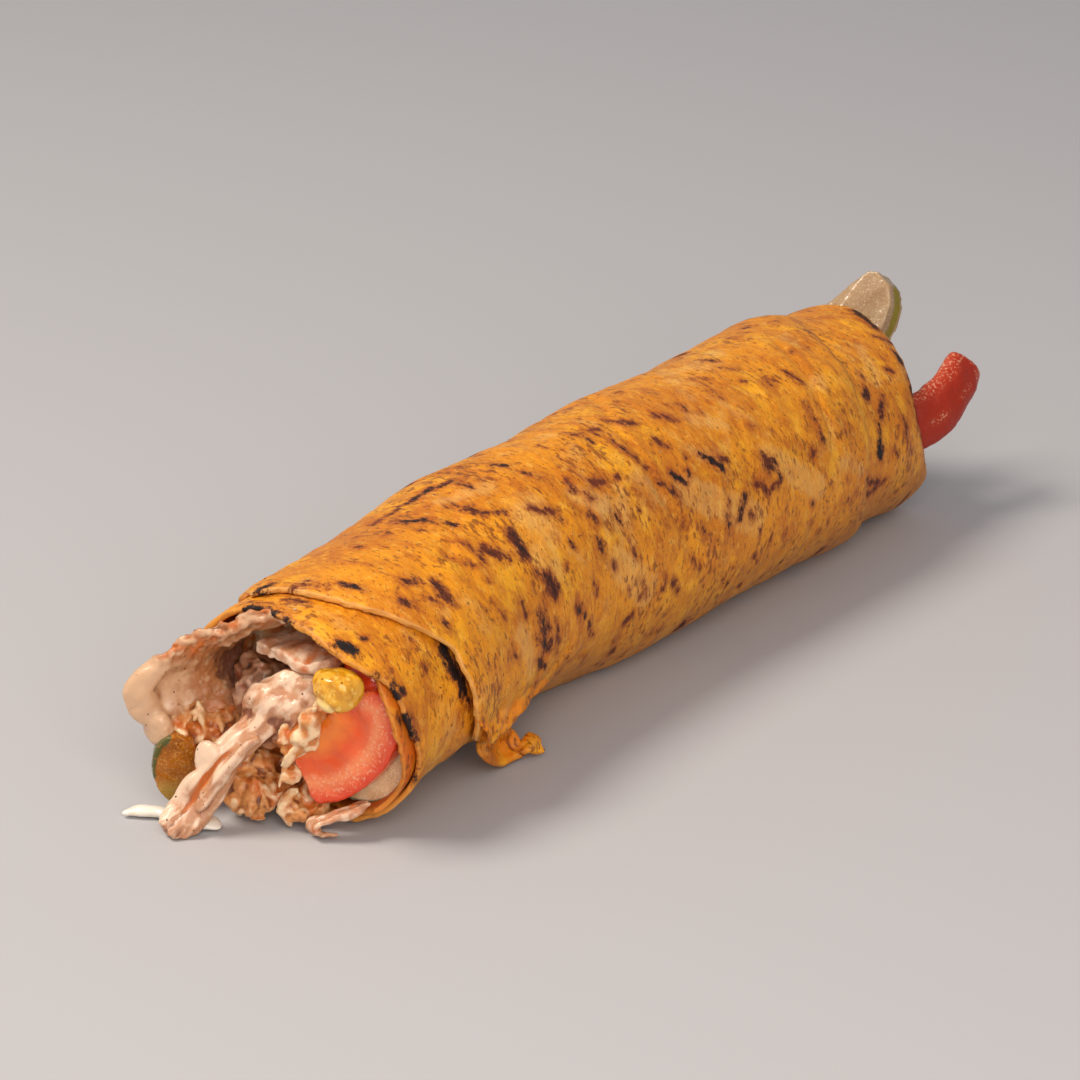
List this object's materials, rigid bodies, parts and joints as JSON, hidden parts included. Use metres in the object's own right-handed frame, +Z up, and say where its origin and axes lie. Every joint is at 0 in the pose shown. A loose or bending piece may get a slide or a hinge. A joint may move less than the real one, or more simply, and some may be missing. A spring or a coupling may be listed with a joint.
{
  "type": "doner kebab sandwich",
  "caption": "Grilled flatbread rolled round chicken, tomato, pickle and corn, open at both ends, filling spilling from the near mouth",
  "frame": {"origin": "on the floor under the middle of the roll's length, in the flattened underside", "axes": "+X along the roll from the mouth with the spilling filling to the far end, +Z up"},
  "size_m": [0.2549, 0.0643, 0.055],
  "materials": {
    "grilled_flatbread": "satin, grilled",
    "grilled_flatbread_inner": "satin, grilled",
    "stained_flatbread": "moist",
    "chicken": "moist",
    "chicken_in_sauce": "wet",
    "browned_chicken": "moist",
    "tomato": "wet",
    "pickle": "wet",
    "corn": "wet",
    "mayonnaise": "wet"
  },
  "bodies": {
    "root": {"lavash_outer": "grilled_flatbread", "lavash_inner": "grilled_flatbread_inner", "lavash_lining": "stained_flatbread", "chicken_filling": "chicken", "chicken_slice_left": "chicken_in_sauce", "chicken_slice_top": "chicken_in_sauce", "chicken_lump": "chicken_in_sauce", "chicken_strip_front": "chicken_in_sauce", "chicken_chunk_dark": "browned_chicken", "chicken_curl": "chicken_in_sauce", "tomato_slice_near": "tomato", "tomato_slice_back": "tomato", "pickle_slice_right": "pickle", "pickle_slice_left": "pickle", "corn_kernel": "corn", "mayo_drip": "mayonnaise", "pickle_spear_far": "pickle", "tomato_wedge_far": "tomato"}
  },
  "joints": []
}
